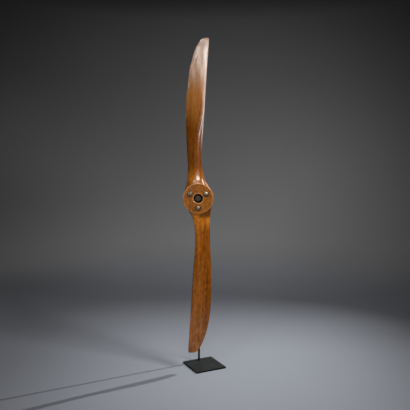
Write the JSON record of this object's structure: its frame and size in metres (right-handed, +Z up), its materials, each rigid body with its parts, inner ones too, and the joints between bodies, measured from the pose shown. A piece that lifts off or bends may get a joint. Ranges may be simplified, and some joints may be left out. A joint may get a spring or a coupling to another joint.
{
  "type": "wooden aircraft propeller on a steel display stand",
  "caption": "Laminated wooden two-blade aircraft propeller with a bolted hub, held upright on a flat steel display stand.",
  "frame": {"origin": "centre of the base plate's underside", "axes": "+Z up along the blades, -Y the way the propeller's front face looks, +X to the right seen from the front"},
  "size_m": [0.315, 0.3276, 2.329],
  "materials": {
    "propeller_wood": "aged amber varnish over straight-grained hardwood, glossy, worn at the edges",
    "aged_plated_steel": "aged nickel-brass coloured plating, dulled",
    "black_stand_steel": "satin black paint on steel",
    "black_screw_steel": "blackened steel, oiled"
  },
  "bodies": {
    "root": {"lamination_1": "propeller_wood", "lamination_2": "propeller_wood", "lamination_3": "propeller_wood", "lamination_4": "propeller_wood", "lamination_5": "propeller_wood", "lamination_6": "propeller_wood", "lamination_7": "propeller_wood", "stud_1": "aged_plated_steel", "stud_2": "aged_plated_steel", "stud_3": "aged_plated_steel", "washer_1": "aged_plated_steel", "washer_2": "aged_plated_steel", "washer_3": "aged_plated_steel", "nut_1": "aged_plated_steel", "nut_2": "aged_plated_steel", "nut_3": "aged_plated_steel", "flange": "black_stand_steel", "arm": "black_stand_steel", "rod": "black_stand_steel", "base_plate": "black_stand_steel", "set_screw_1": "black_screw_steel", "set_screw_2": "black_screw_steel", "set_screw_3": "black_screw_steel", "set_screw_4": "black_screw_steel", "foot_screw": "black_screw_steel"}
  },
  "joints": []
}
